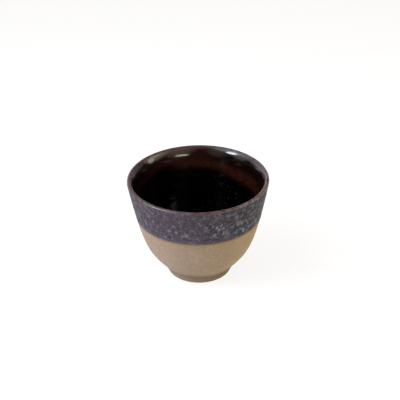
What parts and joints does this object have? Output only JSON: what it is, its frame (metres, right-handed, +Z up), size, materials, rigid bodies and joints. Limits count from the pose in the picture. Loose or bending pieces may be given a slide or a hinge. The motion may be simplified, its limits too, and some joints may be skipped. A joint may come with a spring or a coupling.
{
  "type": "tumbler",
  "caption": "Handleless stoneware tumbler with a rounded bare-clay bowl on a foot ring, a dark speckled glaze band outside, a glazed lip and a glossy black lining.",
  "frame": {"origin": "centre of the foot ring's resting face, on the turning axis", "axes": "+Z up along the turning axis from the foot to the lip; X and Y are alike, because the part is turned"},
  "size_m": [0.09, 0.09, 0.0672],
  "materials": {
    "bare_clay": "unglazed fired stoneware, fine grog, matte",
    "foot_clay": "unglazed turned stoneware, matte",
    "band_glaze": "satin grey-violet glaze with pale flecks",
    "lip_glaze": "thin satin mauve-brown glaze",
    "liner_glaze": "glossy black glaze with a rust-brown break below the lip"
  },
  "bodies": {
    "root": {"clay_bowl": "bare_clay", "foot_ring": "foot_clay", "band_glaze": "band_glaze", "lip_glaze": "lip_glaze", "liner_glaze": "liner_glaze"}
  },
  "joints": []
}
